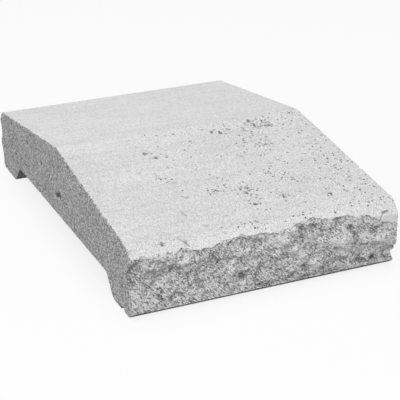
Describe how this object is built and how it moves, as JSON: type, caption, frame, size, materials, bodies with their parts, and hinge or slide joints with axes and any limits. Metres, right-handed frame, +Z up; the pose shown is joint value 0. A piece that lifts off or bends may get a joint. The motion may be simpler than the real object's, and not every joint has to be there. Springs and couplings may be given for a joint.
{
  "type": "wall coping stone",
  "caption": "Saddle-back concrete coping stone: a low ridged roof over two split rock faces, with a recess between two downstands that covers the top of a wall.",
  "frame": {"origin": "middle of the stone on the ground plane, under the ridge, level with the flat bottoms of the two downstands", "axes": "+X along the wall, +Y across the wall from the front split face to the back one, +Z up"},
  "size_m": [0.2, 0.305, 0.0689],
  "materials": {
    "concrete": "matte"
  },
  "bodies": {
    "root": {"coping_stone": "concrete"}
  },
  "joints": []
}
